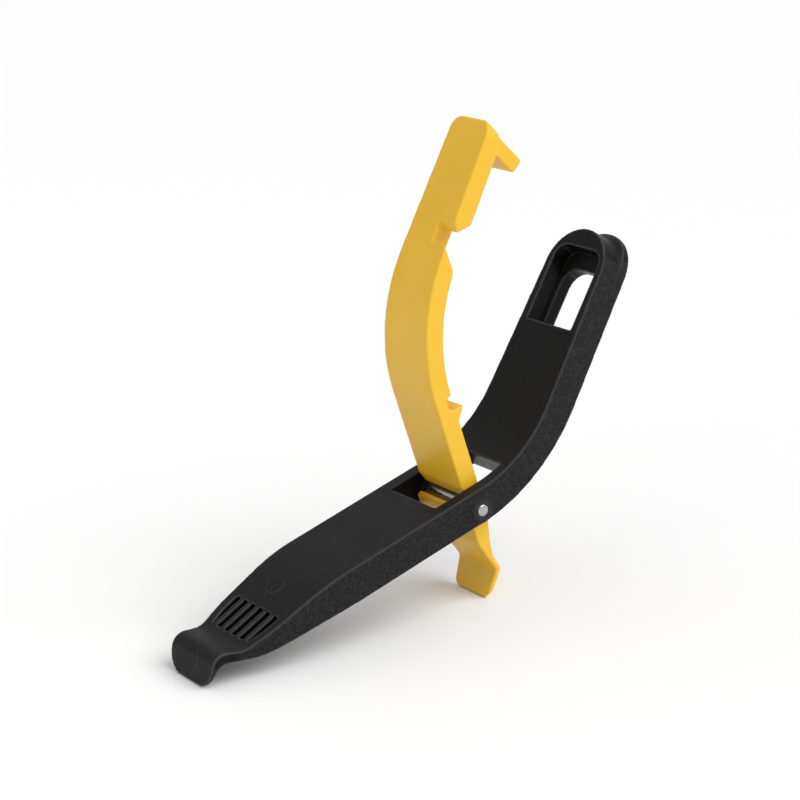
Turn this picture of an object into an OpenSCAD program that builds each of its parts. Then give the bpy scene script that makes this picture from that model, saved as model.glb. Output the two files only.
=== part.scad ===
// Two-piece tyre lever: a bent lever with a spoon tip, and a hooked lever that
// swings on a steel pin through a window in the first. It stands on its two spoon
// tips with the lever open, as it is held in use.
// Row frame: +Z up, +Y along the pin, X = 0 and Y = 0 in the middle of the footprint.

/* [Bent lever] */
// Width across the two flat sides of the bent lever
lever_w = 26; // [25:0.5:28]
// Thickness of the bent lever
lever_t = 9.2; // [8.6:0.1:9.8]
// Height of the top face above the pin axis
deck_h = 5.5; // [5:0.1:6]
// Distance from the pin to the tip of the spoon, along the lower arm
spoon_reach = 84.6; // [78:0.2:92]
// Length of the upper arm beyond the bend
upper_len = 61.5; // [58:0.1:66]
// Angle between the lower arm and the upper arm
bend = 43; // [35:1:50]
// Rise of the lower arm above the ground
arm_rise = 15.83; // [12:0.01:20]
// Width of the spoon
spoon_w = 18.7; // [17:0.1:21]
// Width of the upper arm at its round end
end_w = 21.4; // [20:0.2:23]

/* [Windows] */
// Width of the window that the hooked lever swings in
pivot_window_w = 18.8; // [18.6:0.1:19.6]
// Width of the end window at the top face
end_window_w = 17.2; // [15.5:0.1:17.6]
// Length of the end window at the top face
end_window_len = 21.6; // [16:0.1:22]

/* [Grip slots] */
// Number of slots behind the spoon
slot_count = 6; // [3:1:6]
// Width of one slot
slot_w = 1.8; // [1.2:0.1:2.2]
// Distance from slot to slot
slot_pitch = 3.3; // [3:0.1:3.4]
// Depth of the slots
slot_depth = 2.4; // [1:0.1:2.6]

/* [Hooked lever] */
// Width of the hooked lever at the pin
hook_lever_w = 18.1; // [17.6:0.1:18.3]
// Thickness of the hooked lever
hook_lever_t = 5.3; // [5:0.1:5.6]
// Lean of its straight stem from the vertical, as it stands
lean = 17.8; // [10:0.1:22]
// Turn of its upper arm from the stem
hook_bend = 46; // [42:1:48]
// Length of the hook, from the back face to its tip
hook_len = 9.1; // [7:0.1:10]

/* [Pin] */
// Diameter of the steel pin
pin_d = 3.2; // [3:0.1:3.4]
// Radial clearance of the hooked lever's seat on the pin
seat_gap = 0.06; // [0.02:0.01:0.1]
// How far the pin's heads stand proud of the bosses
head_proud = 0.35; // [0.2:0.05:0.6]

/* [Hidden] */

// Place of the pin axis above the middle of the footprint
pivot_x = 12.08;
pivot_h = 27.95;

// Bent lever, seen from the side: x along the lower arm from the pin, y up from the pin
tip_x = -spoon_reach;
tip_y = -5.05;
belly_h = deck_h - lever_t;
bend_x = 17.3;
top_bend_r = 37.7;
belly_bend_r = 54;
lever_side = [
    [tip_x, tip_y, 0.5],
    [tip_x + 4.3, 3.1, 3.7],
    [tip_x + 11.9, 0.05, 6],
    [tip_x + 37.4, deck_h, 60],
    [bend_x, deck_h, top_bend_r],
    upper_point(upper_len + 5, 0),
    upper_point(upper_len + 5, -lever_t),
    [bend_x + lever_t * tan(bend / 2), belly_h, belly_bend_r],
    [tip_x + 15.3, belly_h, 20],
    [tip_x + 4.5, -0.3, 3],
    [tip_x + 1.05, tip_y - 0.3, 0.5],
];

// Its half widths, seen square to the chord between the two arms
chord = bend / 2;
lever_plan = [
    [-90, spoon_w / 2, 0],
    [-70.5, spoon_w / 2, 12],
    [-60.5, 11.7, 40],
    [-41, lever_w / 2, 60],
    [5, lever_w / 2, 90],
    [36, 11.75, 60],
    [70, end_w / 2 - 0.2, 0],
    [90, end_w / 2 - 0.2, 0],
];

// The spoon's face: its slope, the flat left between its two rounded corners, and how
// far it is trimmed
tip_face = 62;
tip_flat_w = 7.8;
tip_trim = 0.15;

// Windows of the bent lever: the end window is a pocket with a narrower way through it
end_window_s = 34.8;
pocket_depth = 5.3;
pocket_corner_r = 3.9;
ledge = 1.1;
end_ledge = 4.9;
way_corner_r = 5;
pivot_window = [[-10.8, 12], [-10.8, -8], [19, -8], [8.3, 12]];

// Lip along the underside of the round end, and the cove above it
lip_reach = 2;
lip_inset = 0.3;
lip_top = -5.8;
cove_h = 1.9;
cove_reach = 1.6;

// Bosses round the pin
boss_r = 4.2;
boss_top_r = 2.6;
boss_h = 0.6;

// Rounding of the pin's ends
pin_end_r = 0.6;

// Slots behind the spoon: where they start and end, the slope and height of their floor, and
// the half widths of the field that they stay in
slot_start = tip_x + 14.7;
slot_end = tip_x + 24.2;
slot_slope = 12.1;
slot_top = 0.7;
slot_field = [
    [slot_start - 2, 7.4, 0],
    [slot_start + 4, 8.9, 0],
    [slot_end - 1.5, 9.15, 0],
    [slot_end + 1, 7.9, 0],
];

// Hooked lever, seen from the side: x towards its back, y up the stem from the pin
front_x = -1.45;
back_x = front_x + hook_lever_t;
front_bend_r = 47;
back_bend_r = 40.5;
bend_y = 50.45;
rise = 90 - hook_bend;
end_s = 56;
end_tilt = 16;
hook_side = [
    [front_x, bend_y, front_bend_r],
    arm_point(end_s, 0, 0.8),
    arm_point(end_s - hook_lever_t * tan(end_tilt), -hook_lever_t, 0.3),
    [back_x, bend_y - hook_lever_t * tan(hook_bend / 2), back_bend_r],
    [back_x, 30.7, 0.2],
    [2.1, 30.3, 1.2],
    [2.1, 26.6, 1.2],
    [6.6, 26.6, 0.3],
    [back_x, 23.2, 1],
    [back_x, -4, 10],
    [2.45, -12.5, 14],
    [2.3, -17.6, 5],
    [3.8, -22.1, 2.2],
    [-1.6, -28.9, 0.5],
    [-2.8, -28.3, 0.5],
    [2.12, -21.73, 1.8],
    [front_x, -11.2, 8],
    [front_x, -6.5, 2],
    [-4, -2, 1.5],
    [-3.9, 0.3, 0.6],
    [-2.6, 0.9, 0.3],
    [-1.2, -0.8, 0.1],
    [1, 0.9, 0.1],
    [-0.45, 2.8, 0.4],
    [front_x, 6, 0.5],
];

// The hook at its top leaves the back of the upper arm along the tilted end face
hook_drop = 1.7;
hook_t = 4;

// Half widths of the hooked lever, seen from the front
end_half_w = 7.35;
hook_plan = [
    [-40, 5.2, 0],
    [-28.7, 5.2, 0.1],
    [-27.2, 7.1, 1.2],
    [-21.5, 7.9, 10],
    [-8, hook_lever_w / 2, 30],
    [42, hook_lever_w / 2, 80],
    [88, end_half_w, 0],
    [100, end_half_w, 0],
];
end_corner_r = 4;

// Notch in one side of the hooked lever: its depth, its lower wall and its outline
notch_depth = 7.05;
notch_low_s = 23.6;
notch_slope = 47.5;
notch_edge_y = -8.25;
notch_edge_r = 1.3;
notch = [
    arm_point(notch_low_s + 1.5 / tan(notch_slope), 1.5, 0),
    arm_point(notch_low_s - 7.5 / tan(notch_slope), -7.5, 0),
    arm_point(32.7, -7.5, 0),
    arm_point(27.1, -1.8, 0.4),
    arm_point(31.9, 1.5, 0),
];

function unit(v) = v / norm(v);
function turned(p, a) = [p.x * cos(a) - p.y * sin(a), p.x * sin(a) + p.y * cos(a)];

// Points along the upper arms of the two levers: distance up the arm, height off its outer face
function upper_point(s, n) = concat([bend_x, deck_h] + turned([s, n], bend), 0);
function arm_point(s, n, r) = concat([front_x, bend_y] + turned([s, n], rise), r);

// One corner of an outline as an arc of radius p[2], or as itself where the radius is 0
function arc_corner(before, p, after) =
    let (
        u = unit([before.x - p.x, before.y - p.y]),
        v = unit([after.x - p.x, after.y - p.y]),
        half = acos(u * v) / 2,
        centre = [p.x, p.y] + unit(u + v) * p[2] / sin(half),
        start = [p.x, p.y] + u * p[2] / tan(half) - centre,
        turn = (cross(u, v) > 0 ? -1 : 1) * (180 - 2 * half),
        steps = max(2, ceil(abs(turn) / (p[2] > 20 ? 2 : p[2] > 2 ? 6 : 15)))
    )
    p[2] == 0 ? [[p.x, p.y]] : [for (k = [0:steps]) centre + turned(start, turn * k / steps)];

function rounded(p) =
    let (n = len(p))
    [for (i = [0:n - 1]) each arc_corner(p[(i + n - 1) % n], p[i], p[(i + 1) % n])];

// A line of half widths, mirrored into a closed plan outline
function both_sides(p) =
    let (
        last = len(p) - 1,
        side = [for (i = [0:last]) each arc_corner(p[max(i - 1, 0)], p[i], p[min(i + 1, last)])]
    )
    concat(side, [for (i = [len(side) - 1:-1:0]) [side[i].x, -side[i].y]]);

// An outline in X and Z, drawn out along Y from y0 to y1
module across(outline, y0, y1)
    translate([0, y1, 0]) rotate([90, 0, 0]) linear_extrude(y1 - y0) polygon(outline);

module cylinder_across(r, y0, y1)
    translate([0, y1, 0]) rotate([90, 0, 0]) cylinder(r = r, h = y1 - y0, $fn = 96);

// Places a lever drawn round the pin: its x axis is tilted up by the angle
module on_pin(tilt) translate([pivot_x, 0, pivot_h]) rotate([0, -tilt, 0]) children();

module on_upper_arm() translate([bend_x, 0, deck_h]) rotate([0, -bend, 0]) children();

module on_hook_arm() translate([front_x, 0, bend_y]) rotate([0, -rise, 0]) children();

// A slab with a straight near edge and two rounded far corners
module arched_slab(x0, x1, w, r, z0, z1)
    translate([0, 0, z0])
        linear_extrude(z1 - z0)
            polygon(rounded([[x0, -w / 2, 0], [x1, -w / 2, r], [x1, w / 2, r], [x0, w / 2, 0]]));

module lever_blank()
    intersection() {
        across(rounded(lever_side), -lever_w, lever_w);
        union() {
            rotate([0, -chord, 0])
                translate([0, 0, -60]) linear_extrude(120) polygon(both_sides(lever_plan));
            for (side = [-1, 1])
                translate([0, side * lever_w / 2, 0]) rotate([-side * 90, 0, 0])
                    cylinder(r1 = boss_r, r2 = boss_top_r, h = boss_h, $fn = 96);
        }
        on_upper_arm() round_end_plan();
        translate([tip_x, 0, tip_y]) rotate([0, -tip_face, 0]) spoon_tip_plan();
    }

// Rounds the two corners of the spoon in the plane of its face
module spoon_tip_plan() {
    corner_r = (spoon_w - tip_flat_w) / 2;
    arched_slab(corner_r + 2, tip_trim, spoon_w, corner_r, -200, 200);
    translate([corner_r + 1, -20, -200]) cube([250, 40, 400]);
}

// The round end, and the lip that runs out beyond it along the underside
module round_end_plan() {
    centre = upper_len - end_w / 2;
    translate([centre - 200, -20, -100]) cube([200, 40, 200]);
    translate([centre, 0, -100]) cylinder(d = end_w, h = 200, $fn = 120);
    intersection() {
        translate([centre + lip_reach, 0, -100])
            cylinder(r = end_w / 2 - lip_inset, h = 200, $fn = 120);
        translate([centre, 0, lip_top - cove_h]) {
            cylinder(r1 = end_w / 2 + cove_reach, r2 = end_w / 2, h = cove_h, $fn = 120);
            translate([0, 0, -20]) cylinder(d = end_w + 4 * lip_reach, h = 20, $fn = 120);
        }
    }
}

module end_window()
    on_upper_arm() {
        far = end_window_s + end_window_len;
        arched_slab(end_window_s, far, end_window_w, pocket_corner_r, -pocket_depth, 10);
        arched_slab(end_window_s, far - end_ledge, end_window_w - 2 * ledge, way_corner_r, -20, 0);
    }

module grip_slots()
    intersection() {
        for (i = [0:slot_count - 1]) {
            y = (i - (slot_count - 1) / 2) * slot_pitch;
            translate([slot_start, y - slot_w / 2, slot_top - slot_depth])
                rotate([0, -slot_slope, 0]) cube([slot_end - slot_start, slot_w, 10]);
        }
        translate([0, 0, -20]) linear_extrude(60) polygon(both_sides(slot_field));
    }

module bent_lever()
    color([0.09, 0.09, 0.095])
        on_pin(arm_rise)
            difference() {
                lever_blank();
                across(pivot_window, -pivot_window_w / 2, pivot_window_w / 2);
                end_window();
                grip_slots();
                cylinder_across(pin_d / 2, -lever_w, lever_w);
            }

module pivot_pin() {
    half_len = lever_w / 2 + boss_h + head_proud;
    color([0.75, 0.76, 0.78])
        on_pin(0)
            rotate([90, 0, 0])
                rotate_extrude($fn = 96)
                    polygon(rounded([[0, -half_len, 0], [pin_d / 2, -half_len, pin_end_r],
                                     [pin_d / 2, half_len, pin_end_r], [0, half_len, 0]]));
}

// At the end face: x out of the face, z back up along the hook
module on_end_face()
    on_hook_arm() translate([end_s, 0, 0]) rotate([0, end_tilt, 0]) children();

module hook() {
    back = hook_lever_t / cos(end_tilt);
    on_end_face()
        across(rounded([[-hook_drop, -3, 0], [-hook_drop - hook_t, -3, 0],
                        [-hook_drop - hook_t, -back - hook_len, 0.8],
                        [-hook_drop, -back - hook_len, 0.8]]), -end_half_w, end_half_w);
}

// Rounds the outer edge of the notch's lower wall, along its slope
module notch_edge()
    on_hook_arm()
        translate([notch_low_s, notch_edge_y + notch_edge_r, 0])
            rotate([0, 90 - notch_slope, 0])
                translate([-notch_edge_r, 0, -10])
                    difference() {
                        translate([0, -5, 0]) cube([4, 5, 20]);
                        cylinder(r = notch_edge_r, h = 20, $fn = 48);
                    }

module hooked_lever_body()
    intersection() {
        across(rounded(hook_side), -20, 20);
        rotate([0, -90, 0]) linear_extrude(200, center = true) polygon(both_sides(hook_plan));
        on_end_face() {
            translate([-300, -20, -200]) cube([300 - end_corner_r, 40, 400]);
            arched_slab(-60, 0, 2 * end_half_w + 0.2, end_corner_r, -200, 200);
        }
    }

module hooked_lever()
    color([0.93, 0.68, 0.13])
        on_pin(lean)
            difference() {
                union() {
                    hooked_lever_body();
                    hook();
                }
                across(rounded(notch), -20, notch_depth - hook_lever_w / 2);
                notch_edge();
                cylinder_across(pin_d / 2 + seat_gap, -20, 20);
            }

bent_lever();
pivot_pin();
hooked_lever();
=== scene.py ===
"""The looks of a tyre lever: a bent black lever, a hooked yellow lever and the steel pin they swing on.

Metres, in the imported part's own frame: +Z up, +Y along the pin, standing on the two spoon tips.
"""

import math

import bmesh
import bpy
from mathutils import Euler, Matrix, Vector


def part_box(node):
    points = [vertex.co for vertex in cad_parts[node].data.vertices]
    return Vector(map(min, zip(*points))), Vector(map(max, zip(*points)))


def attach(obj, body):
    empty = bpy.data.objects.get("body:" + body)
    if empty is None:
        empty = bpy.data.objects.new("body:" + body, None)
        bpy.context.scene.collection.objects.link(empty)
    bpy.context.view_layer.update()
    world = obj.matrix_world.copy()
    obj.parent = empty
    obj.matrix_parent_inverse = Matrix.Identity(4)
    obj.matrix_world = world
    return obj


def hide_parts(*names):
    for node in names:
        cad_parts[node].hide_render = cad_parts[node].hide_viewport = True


MM = 0.001

# Camera: the direction it looks from, its roll, where the pin lies in its view, and its lens
VIEW_AZIMUTH = 36.07
VIEW_ELEVATION = 17.34
VIEW_ROLL = -1.6
PIN_IN_VIEW = Vector((12.8, -24.7, -568.9)) * MM
LENS = 100
SENSOR_WIDTH = 36
CLIP_START = 10 * MM

# Mouldings: vertices this near are merged, then the grid they are remeshed on,
# and how many passes of smoothing round their edges
MERGE = 0.001 * MM
GRID = 0.22 * MM
SMOOTHING = 0.5
BLACK_ROUNDING = 8
YELLOW_ROUNDING = 18

# The black spoon has its own rounding, which comes in between these two places along X
SPOON_ROUNDING = 14
SPOON_FROM = -59 * MM
SPOON_TO = -63 * MM

# The windows of the black lever lie within this distance of its middle plane,
# and the grain of its outer sides is complete a little further out
WINDOW_HALF = 9.45 * MM
GRAIN_FULL = WINDOW_HALF + 0.15 * MM

# Gaps that the black lever's mesh and the yellow lever's mesh keep from the pin
PRESSED_GAP = 0.02 * MM
SEAT_GAP = 0.08 * MM

# Ejector marks on the black lever: (centre, the way the face looks, radius, depth)
DECK_MARK = (Vector((-41.2, 1.3, 17.0)) * MM, Vector((-0.468, 0, 0.884)), 2.3 * MM, 0.12 * MM)
SPOON_MARK = (Vector((-66.8, 0, 5.34)) * MM, Vector((-0.978, 0, 0.208)), 2.7 * MM, 0.05 * MM)
MARK_SLOPE = 0.25 * MM  # width of the slope from the face down to the disc
MARK_REACH = 1.6 * MM  # faces further off than this, such as the lever's other side, are left alone

# The pin: rounding of its rims, height of its domes, outer and inner radius of the mark at
# the middle of each end, and the number of steps round it
PIN_RIM = 0.45 * MM
PIN_DOME = 0.12 * MM
PIN_MARK_R = 0.4 * MM
PIN_MARK_INNER_R = 0.25 * MM
PIN_STEPS = 96

# Room: half the floor's width, the point that the fill light is aimed at, and the light all round
FLOOR_HALF = 12.0
LIT_POINT = Vector((0, 0, 60)) * MM
WORLD_STRENGTH = 0.64

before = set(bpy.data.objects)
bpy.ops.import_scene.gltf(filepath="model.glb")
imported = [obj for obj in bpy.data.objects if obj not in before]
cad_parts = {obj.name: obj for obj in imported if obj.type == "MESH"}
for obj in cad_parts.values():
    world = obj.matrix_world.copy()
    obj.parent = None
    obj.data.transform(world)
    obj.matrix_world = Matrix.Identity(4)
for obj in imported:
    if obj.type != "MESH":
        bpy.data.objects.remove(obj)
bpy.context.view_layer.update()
pin_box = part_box("pivot_pin")
PIN = (Vector(pin_box[0]) + Vector(pin_box[1])) / 2
PIN_R = (pin_box[1][0] - pin_box[0][0]) / 2
PIN_HALF = (pin_box[1][1] - pin_box[0][1]) / 2


# ---------------------------------------------------------------- materials


class Shader:
    """A principled material with a few nodes, built from left to right."""

    def __init__(self, name):
        self.material = bpy.data.materials.new(name)
        self.material.use_nodes = True
        self.tree = self.material.node_tree
        self.surface = self.tree.nodes["Principled BSDF"]
        self.coords = self.tree.nodes.new("ShaderNodeTexCoord")
        self.place = self.coords.outputs["Object"]

    def node(self, kind, **values):
        made = self.tree.nodes.new(kind)
        for name, value in values.items():
            setattr(made, name, value)
        return made

    def link(self, source, target):
        self.tree.links.new(source, target)

    def set(self, **values):
        for name, value in values.items():
            self.surface.inputs[name.replace("_", " ")].default_value = value

    def noise(self, size, detail=3.0, roughness=0.55, distortion=0.0):
        """Noise whose features are about size metres across."""
        made = self.node("ShaderNodeTexNoise")
        made.inputs["Scale"].default_value = 1 / size
        made.inputs["Detail"].default_value = detail
        made.inputs["Roughness"].default_value = roughness
        made.inputs["Distortion"].default_value = distortion
        self.link(self.place, made.inputs["Vector"])
        return made.outputs["Fac"]

    def ramp(self, source, low, high, start, end):
        """low where source is at start or under, high where it is at end or over, and even between them."""
        made = self.node("ShaderNodeMapRange")
        self.link(source, made.inputs["Value"])
        for name, value in (("From Min", start), ("From Max", end), ("To Min", low), ("To Max", high)):
            made.inputs[name].default_value = value
        return made.outputs["Result"]

    def maths(self, operation, a, b):
        made = self.node("ShaderNodeMath", operation=operation)
        for slot, value in zip(made.inputs, (a, b)):
            if isinstance(value, (int, float)):
                slot.default_value = value
            else:
                self.link(value, slot)
        return made.outputs["Value"]

    def mix(self, factor, a, b):
        made = self.node("ShaderNodeMix", data_type="RGBA")
        self.link(factor, made.inputs["Factor"])
        for slot, value in ((made.inputs[6], a), (made.inputs[7], b)):
            if isinstance(value, tuple):
                slot.default_value = (*value, 1)
            else:
                self.link(value, slot)
        return made.outputs[2]

    def bump(self, height, depth, below=None):
        made = self.node("ShaderNodeBump")
        made.inputs["Distance"].default_value = depth
        self.link(height, made.inputs["Height"])
        if below is not None:
            self.link(below, made.inputs["Normal"])
        return made.outputs["Normal"]

    def edges(self, start, end):
        """0 on flat stretches, 1 on convex edges."""
        made = self.node("ShaderNodeNewGeometry")
        return self.ramp(made.outputs["Pointiness"], 0, 1, start, end)

    def across(self, output, start, end):
        """0 to 1 as the piece's own place or normal goes out from the middle plane along Y."""
        made = self.node("ShaderNodeSeparateXYZ")
        self.link(self.coords.outputs[output], made.inputs["Vector"])
        return self.ramp(self.maths("ABSOLUTE", made.outputs["Y"], 0), 0, 1, start, end)


def black_plastic():
    """Glass-filled nylon: spark-eroded grain on the outer sides, smoother elsewhere, a painted highlight on
    its edges.
    """
    plain, dusty = (0.0060, 0.0060, 0.0064), (0.0085, 0.0085, 0.0092)
    # The window tone is painted shade for the windows' walls, and the edge tone is a painted highlight for
    # the convex edges
    window_shade_tone, edge_highlight, glint = (0.0025, 0.0025, 0.0025), (0.078, 0.078, 0.083), (0.037, 0.037, 0.0395)
    s = Shader("black_nylon")

    # Where the grain lies: the outer sides have it, and the windows' walls are smooth and get painted shade,
    # a darker tone for the shade in these recesses
    sideways = s.across("Normal", 0.35, 0.8)
    outside = s.across("Object", WINDOW_HALF, GRAIN_FULL)
    side = s.maths("MULTIPLY", sideways, outside)
    window_shade = s.maths("SUBTRACT", sideways, side)

    grain = s.noise(0.34 * MM, 4, 0.6)
    pits = s.noise(1.3 * MM, 3, 0.5)
    dust = s.ramp(s.noise(14 * MM, 5, 0.6), 0, 1, 0.45, 0.75)
    fleck = s.ramp(s.maths("MULTIPLY", grain, s.ramp(pits, 0.9, 1.08, 0.35, 0.65)), 0, 1, 0.44, 0.7)
    colour = s.mix(dust, plain, dusty)
    # Painted shade: the windows' walls darker than the rest, for the shade in these recesses
    colour = s.mix(window_shade, colour, window_shade_tone)
    # Painted highlight: the convex edges lighter, for the light that the rounded edges catch
    colour = s.mix(s.maths("MULTIPLY", s.edges(0.502, 0.53), 0.6), colour, edge_highlight)
    colour = s.mix(s.maths("MULTIPLY", fleck, s.ramp(side, 0.12, 0.9, 0, 1)), colour, glint)
    s.link(colour, s.surface.inputs["Base Color"])

    rough = s.maths("ADD", s.ramp(side, 0.38, 0.46, 0, 1), s.ramp(pits, -0.06, 0.06, 0.3, 0.7))
    s.link(rough, s.surface.inputs["Roughness"])

    patches = s.ramp(s.noise(16 * MM, 2, 0.5), 0.5, 2.2, 0.45, 0.65)
    relief = s.maths("ADD", grain, s.maths("MULTIPLY", pits, patches))
    relief = s.maths("MULTIPLY", relief, s.ramp(side, 0.22, 1, 0, 1))
    s.link(s.bump(relief, 0.22 * MM), s.surface.inputs["Normal"])
    s.set(Specular_IOR_Level=0.11)
    return s.material


def yellow_plastic():
    """Moulded acetal: an even, slightly waxy yellow with faint flow marks, a fine skin and a painted
    highlight on its edges.
    """
    deep, light, edge_highlight = (0.775, 0.450, 0.014), (0.80, 0.473, 0.018), (0.96, 0.62, 0.09)
    s = Shader("yellow_acetal")
    flow = s.noise(22 * MM, 2, 0.5, 0.6)
    peel = s.noise(1.3 * MM, 2, 0.5)
    fine = s.noise(0.28 * MM, 2, 0.5)
    colour = s.mix(s.ramp(flow, 0, 1, 0.3, 0.7), deep, light)
    # Painted highlight: the convex edges lighter, for the light that the rounded edges catch
    colour = s.mix(s.maths("MULTIPLY", s.edges(0.52, 0.6), 0.35), colour, edge_highlight)
    s.link(colour, s.surface.inputs["Base Color"])
    s.link(s.ramp(peel, 0.34, 0.46, 0.3, 0.7), s.surface.inputs["Roughness"])
    s.link(s.bump(fine, 0.008 * MM, s.bump(peel, 0.02 * MM)), s.surface.inputs["Normal"])
    s.set(Subsurface_Weight=0.08, Subsurface_Scale=1.2 * MM, Subsurface_Radius=(1.0, 0.5, 0.12))
    return s.material


def pin_steel():
    """Zinc-plated steel, turned: fine rings round the axis on the heads, and a mottled plating."""
    dull, bright = (0.36, 0.37, 0.39), (0.5, 0.51, 0.53)
    ring_pitch = 0.16 * MM
    s = Shader("zinc_steel")
    parts = s.node("ShaderNodeSeparateXYZ")
    s.link(s.place, parts.inputs["Vector"])
    from_axis = s.node("ShaderNodeCombineXYZ")
    s.link(s.maths("SUBTRACT", parts.outputs["X"], PIN.x), from_axis.inputs["X"])
    s.link(s.maths("SUBTRACT", parts.outputs["Z"], PIN.z), from_axis.inputs["Z"])
    radius = s.node("ShaderNodeVectorMath", operation="LENGTH")
    s.link(from_axis.outputs["Vector"], radius.inputs[0])
    turns = s.maths("MULTIPLY", radius.outputs["Value"], 2 * math.pi / ring_pitch)
    rings = s.maths("SINE", turns, 0)
    mottle = s.noise(0.7 * MM, 3, 0.6)
    s.link(s.mix(mottle, dull, bright), s.surface.inputs["Base Color"])
    s.link(s.ramp(mottle, 0.2, 0.32, 0.3, 0.7), s.surface.inputs["Roughness"])
    relief = s.maths("ADD", s.maths("MULTIPLY", rings, 0.15), s.maths("MULTIPLY", mottle, 0.3))
    s.link(s.bump(relief, 0.01 * MM), s.surface.inputs["Normal"])
    s.set(Metallic=1.0)
    return s.material


# ---------------------------------------------------------------- pieces


def shown(name, data):
    """A new object in the scene."""
    made = bpy.data.objects.new(name, data)
    bpy.context.scene.collection.objects.link(made)
    return made


def shade_smooth(mesh):
    for face in mesh.polygons:
        face.use_smooth = True


def apply_modifiers(piece):
    ready = piece.evaluated_get(bpy.context.evaluated_depsgraph_get())
    mesh = bpy.data.meshes.new_from_object(ready)
    piece.modifiers.clear()
    old = piece.data
    piece.data = mesh
    bpy.data.meshes.remove(old)
    mesh.name = piece.name


def smooth(piece, passes):
    """Adds a modifier that rounds the piece's edges, wider with each pass."""
    made = piece.modifiers.new("rounding", "SMOOTH")
    made.iterations = passes
    made.factor = SMOOTHING
    return made


def moulding(node, name, rounding):
    """A CAD node's shape as a fine even mesh, with its edges rounded as a mould leaves them."""
    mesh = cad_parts[node].data.copy()
    mesh.materials.clear()
    piece = shown(name, mesh)
    shape = bmesh.new()
    shape.from_mesh(mesh)
    bmesh.ops.remove_doubles(shape, verts=shape.verts, dist=MERGE)
    bmesh.ops.recalc_face_normals(shape, faces=shape.faces)
    shape.to_mesh(mesh)
    shape.free()
    grid = piece.modifiers.new("grid", "REMESH")
    grid.mode = "VOXEL"
    grid.voxel_size = GRID
    smooth(piece, rounding)
    apply_modifiers(piece)
    shade_smooth(piece.data)
    return piece


def round_spoon(piece):
    """The black spoon's edges are rounder than the rest of the lever."""
    group = piece.vertex_groups.new(name="spoon")
    for vertex in piece.data.vertices:
        weight = (vertex.co.x - SPOON_FROM) / (SPOON_TO - SPOON_FROM)
        if weight > 0:
            group.add([vertex.index], min(1.0, weight), "REPLACE")
    smooth(piece, SPOON_ROUNDING).vertex_group = group.name
    apply_modifiers(piece)
    piece.vertex_groups.clear()


def clear_of_pin(piece, gap):
    """Keeps the mesh that faces the pin at an even gap from it, so that neither cuts into the other."""
    for vertex in piece.data.vertices:
        x, z = vertex.co.x - PIN.x, vertex.co.z - PIN.z
        r = math.hypot(x, z)
        if 0 < r < PIN_R + gap:
            grow = (PIN_R + gap) / r
            vertex.co.x, vertex.co.z = PIN.x + x * grow, PIN.z + z * grow


def disc_mark(piece, centre, out, radius, depth):
    """A round mark as an ejector pin leaves it: a disc sunk a little below the face, with a short slope."""
    for vertex in piece.data.vertices:
        off = vertex.co - centre
        height = off.dot(out)
        r = (off - out * height).length
        if abs(height) <= MARK_REACH and r < radius:
            vertex.co -= out * depth * min(1.0, (radius - r) / MARK_SLOPE)


def lathe(name, profile, centre):
    """A solid of revolution about +Y: profile is (radius, y), from one end of the axis to the other."""
    mesh = bpy.data.meshes.new(name)
    made = bmesh.new()
    rings = []
    for r, y in profile:
        angles = [2 * math.pi * k / PIN_STEPS for k in range(PIN_STEPS if r else 1)]
        places = [centre + Vector((r * math.cos(a), y, r * math.sin(a))) for a in angles]
        rings.append([made.verts.new(place) for place in places])
    for low, high in zip(rings, rings[1:]):
        for k in range(PIN_STEPS):
            m = (k + 1) % PIN_STEPS
            corners = [low[k % len(low)], low[m % len(low)], high[m % len(high)], high[k % len(high)]]
            made.faces.new(list(dict.fromkeys(corners)))
    bmesh.ops.recalc_face_normals(made, faces=made.faces)
    made.to_mesh(mesh)
    made.free()
    shade_smooth(mesh)
    return shown(name, mesh)


def pin():
    """The pin: a plain bar whose ends are slightly domed heads with a rounded rim and a small centre mark."""
    end = [
        (0, PIN_HALF - PIN_DOME * 0.8),
        (PIN_MARK_INNER_R, PIN_HALF - PIN_DOME * 0.4),
        (PIN_MARK_R, PIN_HALF),
    ]
    dome_r = PIN_R - PIN_RIM
    dome_steps, rim_steps = 5, 6
    for k in range(1, dome_steps + 1):
        r = PIN_MARK_R + (dome_r - PIN_MARK_R) * k / dome_steps
        end.append((r, PIN_HALF - PIN_DOME * (r / dome_r) ** 2))
    for k in range(1, rim_steps + 1):
        a = math.pi / 2 * k / rim_steps
        end.append((dome_r + PIN_RIM * math.sin(a), PIN_HALF - PIN_DOME - PIN_RIM * (1 - math.cos(a))))
    profile = [(r, -y) for r, y in end] + [(r, y) for r, y in reversed(end)]
    return lathe("pin", profile, PIN)


black = moulding("bent_lever", "black_lever", BLACK_ROUNDING)
yellow = moulding("hooked_lever", "yellow_lever", YELLOW_ROUNDING)
steel = pin()
round_spoon(black)
clear_of_pin(black, PRESSED_GAP)
clear_of_pin(yellow, SEAT_GAP)
disc_mark(black, *DECK_MARK)
disc_mark(black, *SPOON_MARK)

for piece, node, body, slot, material in (
    (black, "bent_lever", "bent_lever", "black_plastic", black_plastic()),
    (yellow, "hooked_lever", "hooked_lever", "yellow_plastic", yellow_plastic()),
    (steel, "pivot_pin", "bent_lever", "pin_steel", pin_steel()),
):
    piece.data.materials.append(material)
    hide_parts(node)
    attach(piece, body)


# ---------------------------------------------------------------- scene


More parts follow.
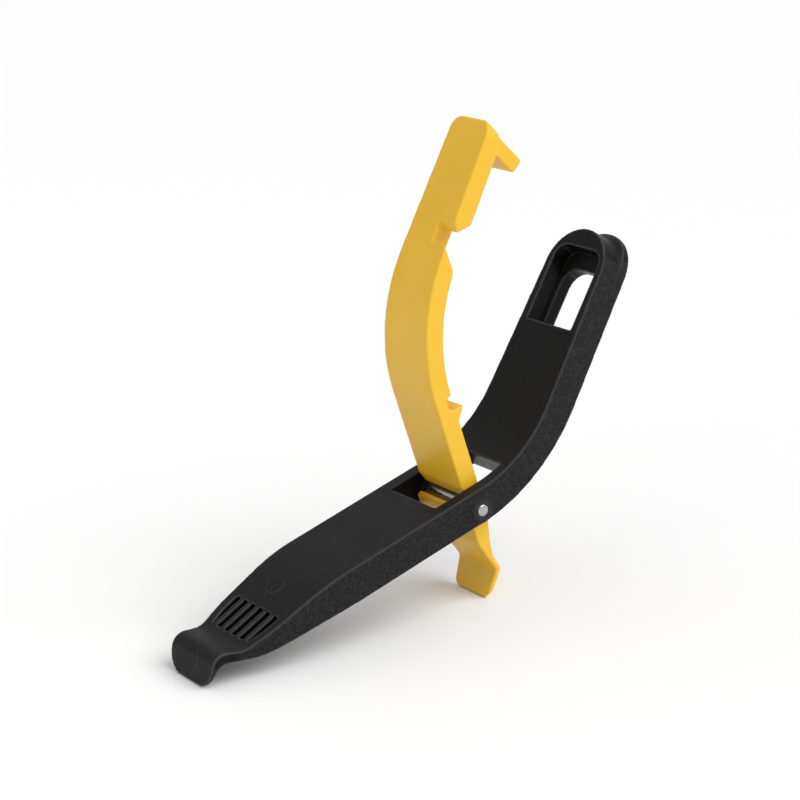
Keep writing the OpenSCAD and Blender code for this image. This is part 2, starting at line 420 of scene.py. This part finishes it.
def camera():
    data = bpy.data.cameras.new("camera")
    data.lens = LENS
    data.sensor_width = SENSOR_WIDTH
    data.clip_start = CLIP_START
    made = shown("camera", data)
    turn = (
        Matrix.Rotation(math.radians(-VIEW_AZIMUTH), 4, "Z")
        @ Matrix.Rotation(math.radians(90 - VIEW_ELEVATION), 4, "X")
        @ Matrix.Rotation(math.radians(VIEW_ROLL), 4, "Z")
    )
    made.matrix_world = Matrix.Translation(PIN - turn.to_3x3() @ PIN_IN_VIEW) @ turn
    bpy.context.scene.camera = made


def softbox(name, azimuth, elevation, distance, size, power):
    """A square area light aimed at the middle of the object."""
    data = bpy.data.lights.new(name, "AREA")
    data.shape = "SQUARE"
    data.size = size
    data.energy = power
    turn = Euler((math.radians(90 - elevation), 0, math.radians(-azimuth))).to_matrix().to_4x4()
    shown(name, data).matrix_world = (
        Matrix.Translation(LIT_POINT) @ turn @ Matrix.Translation((0, 0, distance))
    )


def soft_sun(azimuth, elevation, strength, angle):
    """The main light: as even over the floor as a sun, and as soft as a wide sheet of diffuser."""
    data = bpy.data.lights.new("key", "SUN")
    data.energy = strength
    data.angle = math.radians(angle)
    shown("key", data).rotation_euler = (math.radians(90 - elevation), 0, math.radians(-azimuth))


def floor():
    mesh = bpy.data.meshes.new("floor")
    corners = [(x * FLOOR_HALF, y * FLOOR_HALF, 0) for x, y in ((-1, -1), (1, -1), (1, 1), (-1, 1))]
    mesh.from_pydata(corners, [], [(0, 1, 2, 3)])
    made = shown("floor", mesh)
    s = Shader("floor_paper")
    s.set(Base_Color=(0.9, 0.9, 0.9, 1), Roughness=0.9, Specular_IOR_Level=0.1)
    mesh.materials.append(s.material)


def studio():
    """Even white light from all round, under the lamps."""
    world = bpy.data.worlds.new("studio")
    world.use_nodes = True
    background = world.node_tree.nodes["Background"]
    background.inputs["Color"].default_value = (1, 1, 1, 1)
    background.inputs["Strength"].default_value = WORLD_STRENGTH
    bpy.context.scene.world = world
    bpy.context.scene.view_settings.view_transform = "Standard"


camera()
floor()
soft_sun(azimuth=-28, elevation=46, strength=2.0, angle=50)
softbox("fill", azimuth=80, elevation=30, distance=1.0, size=0.7, power=0.7)
studio()
